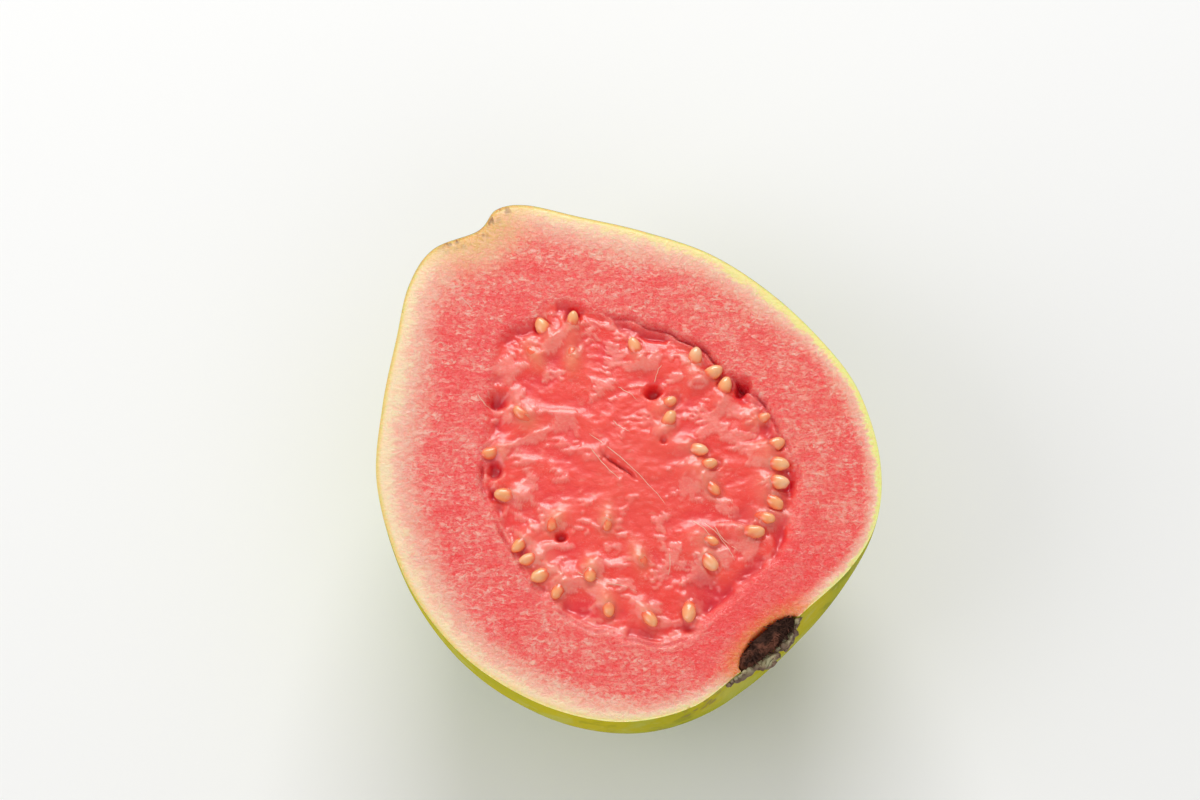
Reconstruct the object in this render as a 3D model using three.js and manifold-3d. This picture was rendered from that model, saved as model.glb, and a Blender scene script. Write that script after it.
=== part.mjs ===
// Half of a pink guava, cut lengthwise through stalk end and calyx. It lies on its rounded back with the cut face up.
// Millimetres, +Z up. The origin is on the surface it lies on, under the middle of its box, and +Y points from the
// dried calyx to the stalk end. The fruit is one solid: skin, flesh, seed pulp and the seeds rooted in it.
import * as THREE from "three";
import { mergeVertices } from "three/addons/utils/BufferGeometryUtils.js";
import Module from "manifold-3d";

const wasm = await Module();
wasm.setup();

// Driving dimensions of the fruit
const FACE_HEIGHT = 36; // the cut face above the surface the half lies on
const DEPTH_SHARE = 0.972; // depth of a cross section over half its width, before the resting spot is flattened
const BELLY_SHIFT = 0.08; // how much deeper the stalk end is than the calyx end, which levels the half
const CALYX_END = [2.5, -40.6];
const STALK_END = [3.2, 41.9];
// The cut outline from the calyx end to the stalk end, once up its right side and once up its left
const RIGHT_SIDE = [
  [9.0, -39.0],
  [19.5, -36.9],
  [27.6, -32.4],
  [33.6, -24.4],
  [37.3, -13.6],
  [37.5, -4.1],
  [35.6, 7.4],
  [31.5, 18.4],
  [24.9, 27.6],
  [17.6, 35.6],
  [12.0, 41.6],
  [7.6, 43.5],
];
const LEFT_SIDE = [
  [-4.0, -41.6],
  [-13.0, -42.2],
  [-22.5, -38.6],
  [-30.0, -31.3],
  [-35.3, -21.4],
  [-37.6, -11.1],
  [-37.0, 0.4],
  [-32.8, 13.8],
  [-25.5, 24.1],
  [-17.5, 32.9],
  [-11.0, 39.7],
  [-4.5, 43.0],
];

// Shallow furrows that run out from the calyx, and the slow waves of the skin
const FURROWS = 4;
const FURROW_DEPTH = 0.9;
const FURROW_REACH = 0.3; // share of the way to the stalk end
const WAVE_HEIGHT = 0.35;

// The seed pulp has the fruit's outline, narrowed and moved towards the calyx
const PULP_CENTRE = [0.9, -3.8];
const PULP_SHIFT = [0.6, -4.1];
const PULP_WIDTH_SHARE = 0.61;
const PULP_LENGTH_SHARE = 0.68;
const PULP_DROP = 0.6; // its surface below the cut face
const CORE_RISE = 0.5; // its firm middle above the rest of it
const LUMP_HEIGHT = 0.3;
const GROOVE_DEPTH = 0.9; // the wet seam round the pulp
const GROOVE_WIDTH = 0.9;
const GROOVE_BEARING = 15; // degrees, where the seam is deepest, with its like opposite

// Seeds lie in rows along the pulp's chambers: bearing in degrees about the pulp's centre, share of the way out
const SEED_ROWS = [
  { count: 1, bearing: [52, 52], share: [0.8, 0.8] },
  { count: 3, bearing: [25, 6], share: [0.91, 0.88] },
  { count: 1, bearing: [-14, -14], share: [0.93, 0.93] },
  { count: 6, bearing: [-26, -65], share: [0.91, 0.79] },
  { count: 2, bearing: [-80, -86], share: [0.65, 0.73] },
  { count: 2, bearing: [24, 12], share: [0.52, 0.41] },
  { count: 3, bearing: [-22, -51], share: [0.44, 0.49] },
  { count: 2, bearing: [86, 76], share: [0.91, 0.86] },
  { count: 2, bearing: [95, 82], share: [0.78, 0.66] },
  { count: 1, bearing: [121, 121], share: [0.73, 0.73] },
  { count: 2, bearing: [142, 164], share: [0.91, 0.84] },
  { count: 4, bearing: [187, 211], share: [0.89, 0.89] },
  { count: 3, bearing: [230, 258], share: [0.82, 0.87] },
  { count: 2, bearing: [189, 220], share: [0.61, 0.37] },
  { count: 2, bearing: [220, 244], share: [0.69, 0.52] },
];
const SEED_HALF = [1.85, 1.25, 1.15]; // half its length, width and height
const SEED_PROUD = 0.35; // its middle above the pulp, as a share of its half height
const SEED_MOUND = 0.5; // the pulp swells this much round a seed
const MOUND_REACH = 2.0;
const SEED_TURN = 30; // degrees either way from pointing at the centre
const SEED_GROWTH = 0.12; // seeds differ in size by this share either way

// Sockets that seeds fell out of
const SOCKETS = [
  { bearing: 37, share: 0.55, radius: 1.5 },
  { bearing: 2, share: 0.99, radius: 1.4 },
  { bearing: 119, share: 0.91, radius: 1.7 },
  { bearing: 151, share: 0.89, radius: 1.5 },
  { bearing: 198, share: 0.64, radius: 1.0 },
];
const SOCKET_DEPTH_SHARE = 1.2;

// The slit in the middle of the pulp
const SLIT_CENTRE = [-0.4, -3.6];
const SLIT_LENGTH = 10;
const SLIT_WIDTH = 0.7;
const SLIT_DEPTH = 1.8;
const SLIT_TURN = 9; // degrees off the fruit's axis

// The calyx: a woody plug of dried flower in a hollow of the fruit's end, and the sepals round it. Each sepal is
// rooted at a turn, in degrees round the calyx axis from the cut face, and lies in over the plug or back over the skin
const CALYX_TURN = 11; // degrees that its axis leans from -Y towards +X
const PLUG_RADIUS = 5.6;
const PLUG_DEPTH = 3.3;
const PLUG_GAP = 0.3; // clear space between the plug and the fruit
const SEPAL_WIDTH = 4.8;
const SEPAL_THICKNESS = 0.8;
const SEPAL_LIFT = 0.4; // its underside above the skin
const SEPALS = [
  { turn: -3, root: 5.5, tip: -1.5, rise: 0.6 },
  { turn: -62, root: 4.0, tip: 9.2, rise: 0.9 },
  { turn: -118, root: 5.5, tip: 0.8, rise: 1.0 },
  { turn: -177, root: 4.0, tip: 9.4, rise: 0 },
];

// Fineness of the faceted model
const STEPS_A_SPAN = 4;
const SECTION_STEPS = 22;
const BAND_RINGS = [1, 0.62, 0.3, 0.09]; // shares of the flesh band, rim to seam
const PULP_RINGS = 12;
const SEED_SIDES = 8;
const SEED_BANDS = 5;

const SPANS = RIGHT_SIDE.length + 1;
const OUTLINE = [CALYX_END, ...RIGHT_SIDE, STALK_END, ...[...LEFT_SIDE].reverse()];
const radians = THREE.MathUtils.degToRad;
const mix = THREE.MathUtils.lerp;

// A repeatable draw between 0 and 1
function draw(number) {
  const value = Math.sin(number * 12.9898) * 43758.5453;
  return value - Math.floor(value);
}

// A point of the closed cut outline, counted in spans from the calyx end up the right side
function outlinePoint(spans) {
  const count = OUTLINE.length;
  const first = Math.floor(spans);
  const t = spans - first;
  const [a, b, c, d] = [-1, 0, 1, 2].map((k) => OUTLINE[(first + k + count) % count]);
  return [0, 1].map(
    (k) =>
      0.5 *
      (2 * b[k] +
        (c[k] - a[k]) * t +
        (2 * a[k] - 5 * b[k] + 4 * c[k] - d[k]) * t * t +
        (3 * b[k] - a[k] - 3 * c[k] + d[k]) * t * t * t),
  );
}

function pulpEdge([x, y]) {
  return [x * PULP_WIDTH_SHARE + PULP_SHIFT[0], y * PULP_LENGTH_SHARE + PULP_SHIFT[1]];
}

// A point of the skin at a station between the ends, at an angle from the right rim (0) under the fruit to the left (180)
function skinPoint(station, angle) {
  const right = outlinePoint(station);
  const left = outlinePoint(2 * SPANS - station);
  const share = station / SPANS;
  const halfWidth = Math.hypot(right[0] - left[0], right[1] - left[1]) / 2;
  const middleY = (right[1] + left[1]) / 2;
  const depth = halfWidth * DEPTH_SHARE * (1 + (BELLY_SHIFT * middleY) / STALK_END[1]);
  const away = Math.sin(angle);
  const furrow = Math.sin(FURROWS * angle) ** 4 * Math.exp(-((share / FURROW_REACH) ** 2)) * FURROW_DEPTH;
  const wave = WAVE_HEIGHT * away * Math.sin(5 * angle + 3 * share) * Math.sin(9 * share + 1.3);
  const ends = Math.sin(Math.PI * share);
  const shrink = 1 - (ends * (furrow * away + wave)) / Math.max(halfWidth, 1);
  const across = Math.cos(angle) * shrink;
  return [
    (right[0] + left[0]) / 2 + ((right[0] - left[0]) / 2) * across,
    middleY + ((right[1] - left[1]) / 2) * across,
    FACE_HEIGHT - depth * away * shrink,
  ];
}

// Where a bearing and a share of the way out lie on the cut face, inside the pulp
function pulpPlace(bearing, share) {
  const wanted = radians(bearing);
  let best = [0, 0];
  let nearest = Infinity;
  for (let k = 0; k < 40 * SPANS; k += 1) {
    const edge = pulpEdge(outlinePoint(k / 20));
    const turn = Math.atan2(edge[1] - PULP_CENTRE[1], edge[0] - PULP_CENTRE[0]) - wanted;
    const off = Math.abs(Math.atan2(Math.sin(turn), Math.cos(turn)));
    if (off < nearest) {
      nearest = off;
      best = edge;
    }
  }
  return [mix(PULP_CENTRE[0], best[0], share), mix(PULP_CENTRE[1], best[1], share)];
}

// Every seed: its place on the face, the way its narrow end points, and its size
const seeds = SEED_ROWS.flatMap((row, rowNumber) =>
  Array.from({ length: row.count }, (_, k) => {
    const t = row.count > 1 ? k / (row.count - 1) : 0;
    const number = 10 * rowNumber + k + 1;
    const bearing = mix(...row.bearing, t);
    return {
      place: pulpPlace(bearing, mix(...row.share, t)),
      turn: radians(bearing + 180 + SEED_TURN * (2 * draw(number) - 1)),
      tip: radians(16 * (2 * draw(number + 300) - 1)),
      size: 1 + SEED_GROWTH * (2 * draw(number + 600) - 1),
    };
  }),
);

// Height of the cut face over its plane at a place, given how far in mm it is outside the seam and its share of the way
function relief(x, y, outside, share) {
  const bearing = Math.atan2(y - PULP_CENTRE[1], x - PULP_CENTRE[0]);
  const seam = 0.55 + 0.45 * Math.cos(2 * (bearing - radians(GROOVE_BEARING)));
  const groove = -GROOVE_DEPTH * seam * Math.exp(-((outside / GROOVE_WIDTH) ** 2));
  if (outside > 0) return groove;
  const inside = Math.min(1, -outside / 1.5);
  const lumps = LUMP_HEIGHT * (Math.sin(0.9 * x + 1.3) * Math.sin(0.8 * y + 0.4) + 0.6 * Math.sin(1.5 * x - 0.7 * y + 2));
  const core = CORE_RISE * Math.exp(-((share / 0.4) ** 2));
  const mounds = seeds.reduce(
    (sum, seed) =>
      sum + SEED_MOUND * Math.exp(-((x - seed.place[0]) ** 2 + (y - seed.place[1]) ** 2) / MOUND_REACH ** 2),
    0,
  );
  return groove + inside * (core + lumps + mounds - PULP_DROP);
}

// A vertex of the cut face: band is its share of the flesh band, and share its share of the pulp
function facePoint(spans, band, share) {
  const rim = outlinePoint(spans);
  const edge = pulpEdge(rim);
  const [x, y] = [0, 1].map((k) => (band > 0 ? mix(edge[k], rim[k], band) : mix(PULP_CENTRE[k], edge[k], share)));
  const outside =
    band > 0
      ? band * Math.hypot(rim[0] - edge[0], rim[1] - edge[1])
      : (share - 1) * Math.hypot(edge[0] - PULP_CENTRE[0], edge[1] - PULP_CENTRE[1]);
  return [x, y, FACE_HEIGHT + (band === 1 ? 0 : relief(x, y, outside, share))];
}

function toSolid(geometry) {
  const bare = geometry.index ? geometry.toNonIndexed() : geometry.clone();
  bare.deleteAttribute("normal");
  bare.deleteAttribute("uv");
  const merged = mergeVertices(bare, 1e-4);
  return new wasm.Manifold(
    new wasm.Mesh({
      numProp: 3,
      vertProperties: merged.attributes.position.array,
      triVerts: new Uint32Array(merged.index.array),
    }),
  );
}

function toGeometry(solid) {
  const mesh = solid.getMesh();
  const geometry = new THREE.BufferGeometry();
  geometry.setAttribute("position", new THREE.BufferAttribute(new Float32Array(mesh.vertProperties), 3));
  geometry.setIndex(new THREE.BufferAttribute(new Uint32Array(mesh.triVerts), 1));
  geometry.computeVertexNormals();
  return geometry;
}

// The half itself: the skin and the cut face share the vertices of the rim
function halfFruit() {
  const stations = SPANS * STEPS_A_SPAN;
  const around = 2 * stations;
  const points = [];
  const add = (point) => points.push(point) - 1;
  const triangles = [];
  const quad = (a, b, c, d) => triangles.push([a, b, c], [a, c, d]);

  const rim = Array.from({ length: around }, (_, k) => add(facePoint(k / STEPS_A_SPAN, 1, 1)));
  const rows = Array.from({ length: stations + 1 }, (_, i) =>
    Array.from({ length: SECTION_STEPS + 1 }, (_, j) => {
      if (j === 0 || i === 0 || i === stations) return rim[i];
      if (j === SECTION_STEPS) return rim[around - i];
      return add(skinPoint(i / STEPS_A_SPAN, (Math.PI * j) / SECTION_STEPS));
    }),
  );
  for (let i = 0; i < stations; i += 1) {
    for (let j = 0; j < SECTION_STEPS; j += 1) {
      quad(rows[i][j], rows[i][j + 1], rows[i + 1][j + 1], rows[i + 1][j]);
    }
  }

  const rings = [rim];
  for (const band of BAND_RINGS.slice(1)) {
    rings.push(rim.map((_, k) => add(facePoint(k / STEPS_A_SPAN, band, 1))));
  }
  for (let count = PULP_RINGS; count > 0; count -= 1) {
    const share = count / PULP_RINGS;
    const stride = share > 0.7 ? 1 : share > 0.35 ? 2 : 4;
    const ring = [];
    rim.forEach((_, k) => ring.push(k % stride ? ring[k - 1] : add(facePoint(k / STEPS_A_SPAN, 0, share))));
    rings.push(ring);
  }
  for (let ring = 0; ring + 1 < rings.length; ring += 1) {
    for (let k = 0; k < around; k += 1) {
      const next = (k + 1) % around;
      quad(rings[ring][k], rings[ring][next], rings[ring + 1][next], rings[ring + 1][k]);
    }
  }
  const centre = add(facePoint(0, 0, 0));
  const last = rings[rings.length - 1];
  last.forEach((vertex, k) => triangles.push([vertex, last[(k + 1) % around], centre]));

  const geometry = new THREE.BufferGeometry();
  geometry.setAttribute("position", new THREE.Float32BufferAttribute(points.flat(), 3));
  geometry.setIndex(triangles.filter(([a, b, c]) => a !== b && b !== c && c !== a).flat());
  return toSolid(geometry);
}

function surfaceHeight([x, y]) {
  const away = [x - PULP_CENTRE[0], y - PULP_CENTRE[1]];
  const reach = Math.hypot(...away);
  const edge = pulpPlace(THREE.MathUtils.radToDeg(Math.atan2(away[1], away[0])), 1);
  const full = Math.hypot(edge[0] - PULP_CENTRE[0], edge[1] - PULP_CENTRE[1]);
  return FACE_HEIGHT + relief(x, y, reach - full, reach / full);
}

function seedSolid(seed) {
  const [length, width, height] = SEED_HALF.map((half) => half * seed.size);
  const geometry = new THREE.SphereGeometry(1, SEED_SIDES, SEED_BANDS);
  geometry.rotateZ(-Math.PI / 2);
  geometry.scale(length, width, height);
  geometry.rotateY(seed.tip);
  geometry.rotateZ(seed.turn);
  geometry.translate(...seed.place, surfaceHeight(seed.place) + height * SEED_PROUD);
  return toSolid(geometry);
}

function socketSolid({ bearing, share, radius }) {
  const place = pulpPlace(bearing, share);
  const geometry = new THREE.SphereGeometry(radius, SEED_SIDES, SEED_BANDS + 1);
  geometry.scale(1, 1, SOCKET_DEPTH_SHARE);
  geometry.translate(...place, surfaceHeight(place));
  return toSolid(geometry);
}

function slitSolid() {
  const lens = new THREE.Shape();
  lens.moveTo(0, -SLIT_LENGTH / 2);
  lens.quadraticCurveTo(SLIT_WIDTH, 0, 0, SLIT_LENGTH / 2);
  lens.quadraticCurveTo(-SLIT_WIDTH, 0, 0, -SLIT_LENGTH / 2);
  const geometry = new THREE.ExtrudeGeometry(lens, { depth: 3 * SLIT_DEPTH, bevelEnabled: false, curveSegments: 4 });
  geometry.rotateZ(radians(SLIT_TURN));
  geometry.translate(...SLIT_CENTRE, surfaceHeight(SLIT_CENTRE) - SLIT_DEPTH);
  return toSolid(geometry);
}

// A block whose top is at a height, or whose underside is, wide enough to cut the whole fruit
function slab(from, to) {
  const geometry = new THREE.BoxGeometry(120, 120, to - from);
  geometry.translate(0, 0, (from + to) / 2);
  return toSolid(geometry);
}

// Puts a shape made round +Y, the way out of the fruit, at the calyx end
function atCalyx(geometry) {
  geometry.rotateZ(Math.PI + radians(CALYX_TURN));
  geometry.translate(...CALYX_END, FACE_HEIGHT);
  return toSolid(geometry);
}

function turned(profile) {
  return atCalyx(new THREE.LatheGeometry(profile.map(([radius, out]) => new THREE.Vector2(radius, out)), 28));
}

function calyxHollow() {
  const radius = PLUG_RADIUS + PLUG_GAP;
  return turned([
    [0, -PLUG_DEPTH - PLUG_GAP],
    [0.62 * radius, -0.94 * PLUG_DEPTH - PLUG_GAP],
    [0.9 * radius, -0.66 * PLUG_DEPTH],
    [radius, -0.2 * PLUG_DEPTH],
    [radius, 8],
    [0, 8],
  ]);
}

function calyxPlug() {
  return turned([
    [0, -PLUG_DEPTH],
    [0.6 * PLUG_RADIUS, -0.94 * PLUG_DEPTH],
    [0.88 * PLUG_RADIUS, -0.66 * PLUG_DEPTH],
    [PLUG_RADIUS, -0.2 * PLUG_DEPTH],
    [PLUG_RADIUS, 0.8],
    [0.85 * PLUG_RADIUS, 1],
    [0.5 * PLUG_RADIUS, 0.5],
    [0, 0.3],
  ]);
}

// One dried sepal, a blade that narrows and rises from its root to its tip
function sepal({ turn, root, tip, rise }) {
  const half = SEPAL_WIDTH / 2;
  const blade = new THREE.Shape();
  blade.moveTo(-half, root);
  blade.lineTo(half, root);
  blade.quadraticCurveTo(0.9 * half, mix(root, tip, 0.7), 0.5, tip);
  blade.lineTo(-0.4, mix(root, tip, 0.94));
  blade.quadraticCurveTo(-half, mix(root, tip, 0.6), -half, root);
  const geometry = new THREE.ExtrudeGeometry(blade, { depth: SEPAL_THICKNESS, bevelEnabled: false, curveSegments: 5 });
  const position = geometry.attributes.position;
  for (let k = 0; k < position.count; k += 1) {
    const along = (position.getY(k) - root) / (tip - root);
    const cupped = 0.05 * position.getX(k) ** 2;
    position.setZ(k, position.getZ(k) + SEPAL_LIFT + rise * along ** 2 + cupped);
  }
  geometry.rotateX(-Math.PI / 2);
  geometry.rotateY(radians(turn - 90));
  return atCalyx(geometry);
}

function calyx() {
  let solid = calyxPlug();
  for (const each of SEPALS) solid = solid.add(sepal(each));
  return solid.intersect(slab(0, FACE_HEIGHT));
}

function guavaHalf() {
  let solid = halfFruit().subtract(slab(-20, 0)).subtract(calyxHollow()).subtract(slitSolid());
  for (const socket of SOCKETS) solid = solid.subtract(socketSolid(socket));
  for (const seed of seeds) solid = solid.add(seedSolid(seed));
  return solid;
}

function piece(name, solid, look) {
  const mesh = new THREE.Mesh(toGeometry(solid), new THREE.MeshStandardMaterial(look));
  mesh.name = name;
  return mesh;
}

const guava = new THREE.Group();
guava.add(
  piece("guava_half", guavaHalf(), { color: 0xe8605c, roughness: 0.4, metalness: 0 }),
  piece("calyx", calyx(), { color: 0x4a2c20, roughness: 0.85, metalness: 0 }),
);

export default guava;
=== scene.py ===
"""Half of a pink guava, cut lengthwise and lying on its back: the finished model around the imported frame."""

import math

import bpy
import numpy as np
from bpy.props import FloatProperty, FloatVectorProperty, IntProperty, PointerProperty
from bpy.types import Operator, Panel, PropertyGroup
from mathutils import Matrix, Vector, noise


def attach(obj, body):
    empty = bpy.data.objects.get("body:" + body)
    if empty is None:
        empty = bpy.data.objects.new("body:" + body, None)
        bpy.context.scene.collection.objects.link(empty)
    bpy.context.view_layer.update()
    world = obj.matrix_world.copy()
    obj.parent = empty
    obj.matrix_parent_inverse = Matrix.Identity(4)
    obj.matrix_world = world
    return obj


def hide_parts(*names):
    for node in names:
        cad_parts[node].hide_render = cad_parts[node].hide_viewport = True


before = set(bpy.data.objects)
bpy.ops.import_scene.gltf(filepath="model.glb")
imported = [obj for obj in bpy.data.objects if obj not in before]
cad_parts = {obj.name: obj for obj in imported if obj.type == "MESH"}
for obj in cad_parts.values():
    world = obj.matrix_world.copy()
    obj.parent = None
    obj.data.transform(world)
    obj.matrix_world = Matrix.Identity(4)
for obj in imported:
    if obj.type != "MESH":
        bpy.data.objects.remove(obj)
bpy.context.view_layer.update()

bl_info = {
    "name": "Guava Half",
    "version": (1, 0, 0),
    "blender": (4, 5, 0),
    "location": "View3D > Sidebar > Guava",
    "description": "Models the cut half of a pink guava, with its pulp, seeds, skin and dried calyx",
    "category": "Add Mesh",
}

# The cut outline in metres, from the calyx end up its right side to the stalk end and down its left side
CALYX_END = (0.0025, -0.0406)
STALK_END = (0.0032, 0.0419)
RIGHT_SIDE = (
    (0.0090, -0.0390),
    (0.0195, -0.0369),
    (0.0276, -0.0324),
    (0.0336, -0.0244),
    (0.0373, -0.0136),
    (0.0375, -0.0041),
    (0.0356, 0.0074),
    (0.0315, 0.0184),
    (0.0249, 0.0276),
    (0.0176, 0.0356),
    (0.0120, 0.0416),
    (0.0076, 0.0435),
)
LEFT_SIDE = (
    (-0.0045, 0.0430),
    (-0.0110, 0.0397),
    (-0.0175, 0.0329),
    (-0.0255, 0.0241),
    (-0.0328, 0.0138),
    (-0.0370, 0.0004),
    (-0.0376, -0.0111),
    (-0.0353, -0.0214),
    (-0.0300, -0.0313),
    (-0.0225, -0.0386),
    (-0.0130, -0.0422),
    (-0.0040, -0.0416),
)
OUTLINE = np.array((CALYX_END, *RIGHT_SIDE, STALK_END, *LEFT_SIDE))
SPANS = len(RIGHT_SIDE) + 1
RIM_DROP = 0.00016  # the rim's rounding below the cut face
KNIFE_WAVE = 0.0001  # the unevenness that the knife left
FURROW_DEPTH = 0.0009  # at the calyx end of the skin
WAVE_HEIGHT = 0.00035
DENT_DEPTH = 0.00022
RUDDY_PLACE = (0.004, -0.032)  # the deeper red flesh towards the calyx
RUDDY_RADIUS = 0.013

# The seed pulp inside it
PULP_CENTRE = (0.0009, -0.0038)
PULP_SHIFT = (0.0006, -0.0041)
PULP_GRID_SHARE = 0.74  # share of the face grid's rings that the pulp takes

# Stretches of the seam round the pulp: bearing and spread in degrees, and strength
OPEN_SEAM = ((16, 40, 0.95), (150, 10, 0.7), (-178, 7, 0.5), (-140, 9, 0.35), (-112, 14, 0.25))
PALE_LIP = ((-122, 34, 1.0), (40, 40, 0.45), (-20, 24, 0.5), (172, 30, 0.5))

# Rows of seeds, first to last: how many, bearings in degrees about the pulp's centre, shares of the way out,
# and how far the pulp covers them
SEED_ROWS = (
    (1, (52, 52), (0.80, 0.80), (0.10, 0.10)),
    (3, (25, 6), (0.91, 0.88), (0.40, 0.05)),
    (1, (-14, -14), (0.93, 0.93), (0.50, 0.50)),
    (6, (-26, -65), (0.91, 0.79), (0.50, 0.15)),
    (2, (-80, -86), (0.65, 0.73), (0.30, 0.40)),
    (2, (24, 12), (0.52, 0.41), (0.35, 0.35)),
    (3, (-22, -51), (0.44, 0.49), (0.25, 0.40)),
    (2, (86, 76), (0.91, 0.86), (0.20, 0.25)),
    (2, (95, 82), (0.78, 0.66), (0.90, 0.95)),
    (1, (121, 121), (0.73, 0.73), (0.85, 0.85)),
    (2, (142, 164), (0.91, 0.84), (0.55, 0.25)),
    (4, (187, 211), (0.89, 0.89), (0.15, 0.35)),
    (3, (230, 258), (0.82, 0.87), (0.85, 0.15)),
    (2, (189, 220), (0.61, 0.37), (0.90, 0.85)),
    (2, (220, 244), (0.69, 0.52), (0.85, 0.95)),
)
SEED_TURN = 30  # degrees either way from pointing at the centre

# Hollows in the pulp: bearing, share of the way out, radius and depth
SOCKETS = (
    (37, 0.55, 0.0013, 0.0022),
    (2, 0.99, 0.0013, 0.0019),
    (119, 0.91, 0.0017, 0.0014),
    (151, 0.89, 0.0013, 0.0015),
    (198, 0.64, 0.0009, 0.0014),
    (-2, 0.30, 0.0006, 0.0008),
    (-60, 0.72, 0.0020, 0.0007),
    (-95, 0.84, 0.0030, 0.0008),
)
SLIT_CENTRE = (-0.0004, -0.0036)
SLIT_LENGTH = 0.0080
SLIT_WIDTH = 0.00026
SLIT_DEPTH = 0.0013
SLIT_TURN = math.radians(9)

# Relief of the pulp: sizes of its features along and across the knife's way, and their heights and depths
LUMP_SIZE = (0.0062, 0.0030)
FOLD_SIZE = (0.0034, 0.0014)
TEAR_SIZE = (0.0011, 0.0006)
FILM_SIZE = (0.0032, 0.0019)
FILM_RISE = 0.00016
CORE_RADIUS = 0.0100  # of the firm, calm middle
CORE_RISE = 0.0004
SEAM_WANDER = 0.0010
TROUGH_DEPTH = 0.0005
HOLLOW_DEPTH = 0.0004
LIP_RISE = 0.00028

# The pulp round a seed
SEED_INFLUENCE = 0.006
SWELL_SIZE = (0.0022, 0.0015)
SWELL_RISE = 0.00075
NICHE_RING = 1.12  # of the seed's own outline
NICHE_WIDTH = 0.22
NICHE_DEPTH = 0.0009

# The calyx at the fruit's end, and the direction that the knife dragged the flesh in
CALYX_TURN = math.radians(11)
PLUG_RADIUS = 0.0057
PLUG_DEPTH = 0.0025
CALYX_GAP = 0.0003
CALYX_SQUAT = 0.42  # the knife passed beside the calyx's middle, so that this half keeps a shallow part
DRAG_TURN = math.radians(-33)
HAIRS = 54  # dried threads that stand out of the calyx
FUZZ = 120  # and those that lie on it

# Sepals: turn about the calyx axis in degrees, distances of root and tip from the axis, and rise of the tip
SEPALS = (
    (-8, 0.0062, 0.0012, 0.0009),
    (-62, 0.0046, 0.0088, 0.0009),
    (-118, 0.0055, 0.0015, 0.0012),
    (-170, 0.0046, 0.0093, 0.0002),
)

# Fibres of the pulp: from and to on the cut face, and how far the middle strays
FIBRES = (
    ((0.0068, 0.0074), (0.0080, 0.0040), 0.0002),
    ((0.0030, 0.0030), (0.0041, 0.0000), -0.0002),
    ((0.0052, -0.0187), (0.0056, -0.0264), 0.0006),
    ((0.0062, -0.0200), (0.0070, -0.0252), -0.0004),
    ((0.0040, -0.0175), (0.0046, -0.0215), 0.0003),
    ((-0.0013, 0.0032), (0.0020, -0.0131), 0.0007),
    ((-0.0024, 0.0010), (-0.0012, -0.0065), -0.0004),
    ((-0.0054, 0.0335), (-0.0050, 0.0305), 0.0002),
    ((-0.0120, 0.0180), (-0.0116, 0.0150), -0.0002),
    ((-0.0126, -0.0190), (-0.0094, -0.0225), 0.0003),
    ((-0.0152, -0.0150), (-0.0128, -0.0178), -0.0003),
    ((0.0120, 0.0050), (0.0145, 0.0068), 0.0002),
    ((-0.0020, -0.0200), (-0.0040, -0.0228), 0.0002),
)
FIBRE_POINTS = 9

# The stage: its floor and air, and each softbox's place, size and power in watts
FLOOR_COLOUR = (0.92, 0.92, 0.91)
AIR_BRIGHTNESS = 0.47
SOFTBOXES = (
    ("Back softbox", (0.40, 0.62, 0.55), (0.55, 0.36), 5.0),
    ("Left softbox", (-0.75, 0.20, 0.60), (0.6, 0.6), 2.5),
    ("Front fill", (-0.25, -0.95, 0.70), (1.0, 0.8), 1.8),
)

# The camera: lens and sensor in millimetres, where it aims, and how far the aim slides right and up
CAMERA_AZIMUTH = math.radians(-33.2)
CAMERA_ELEVATION = math.radians(65.1)
CAMERA_DISTANCE = 0.5086
CAMERA_LENS = 100
CAMERA_SENSOR = 36
CAMERA_AIM = (0, 0.0004, 0.036)
CAMERA_SLIDE = (-0.0009, 0.0065)

# Masks that colour the fruit, kept on its points
MASKS = ("pulp", "deep", "pale", "film", "glow", "crest", "core", "scar", "tint", "band", "lean", "ruddy")

# Shades that the materials add to the colours of the panel
ROSE_FLUSH = (0.96, 0.40, 0.33, 1.0)
PEACH_FLUSH = (0.96, 0.48, 0.29, 1.0)
OCHRE_RIND = (0.84, 0.66, 0.22, 1.0)
LEMON_RIND = (0.86, 0.84, 0.26, 1.0)
# Painted shade: the pulp's darker red where it lies low between its crests
SHADED_PULP = (0.84, 0.030, 0.040, 1.0)
DEEP_PULP = (0.90, 0.045, 0.030, 1.0)
CORE_PULP = (0.97, 0.103, 0.072, 1.0)
PULP_FLECK = (0.98, 0.38, 0.29, 1.0)
# Torn wet film: paler than the pulp, and partly a painted sheen
FILM_AND_SHEEN = (0.98, 0.30, 0.24, 1.0)
SEED_GLOW = (0.98, 0.30, 0.12, 1.0)
PALE_PULP = (0.96, 0.38, 0.31, 1.0)
CALYX_FRINGE = (0.87, 0.23, 0.045, 1.0)
STALK_OCHRE = (0.78, 0.44, 0.11, 1.0)
SCAR_BROWN = (0.22, 0.07, 0.02, 1.0)
SKIN_BLOOM = (0.50, 0.54, 0.15, 1.0)
SKIN_BLOTCH = (0.13, 0.17, 0.008, 1.0)
SKIN_PORE = (0.56, 0.56, 0.14, 1.0)
STALK_SCAR = (0.30, 0.17, 0.06, 1.0)
SKIN_SCUFF = (0.23, 0.13, 0.06, 1.0)
SEED_ROOT = (0.98, 0.13, 0.055, 1.0)
# Painted highlight on the seeds' tops
SEED_LIT_TOP = (1.0, 0.50, 0.21, 1.0)
SEED_PALE = (0.98, 0.66, 0.48, 1.0)
CALYX_RUSSET = (0.23, 0.083, 0.050, 1.0)
CALYX_TIP = (0.34, 0.15, 0.08, 1.0)
SEPAL_GREY = (0.40, 0.38, 0.22, 1.0)
SEPAL_TAN = (0.44, 0.34, 0.17, 1.0)
SEPAL_EDGE = (0.19, 0.11, 0.07, 1.0)
FIBRE_PINK = (0.90, 0.42, 0.30, 1.0)
FIBRE_CREAM = (0.95, 0.72, 0.52, 1.0)


def a_length(name, description, default):
    return FloatProperty(name=name, description=description, default=default, unit="LENGTH")


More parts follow.
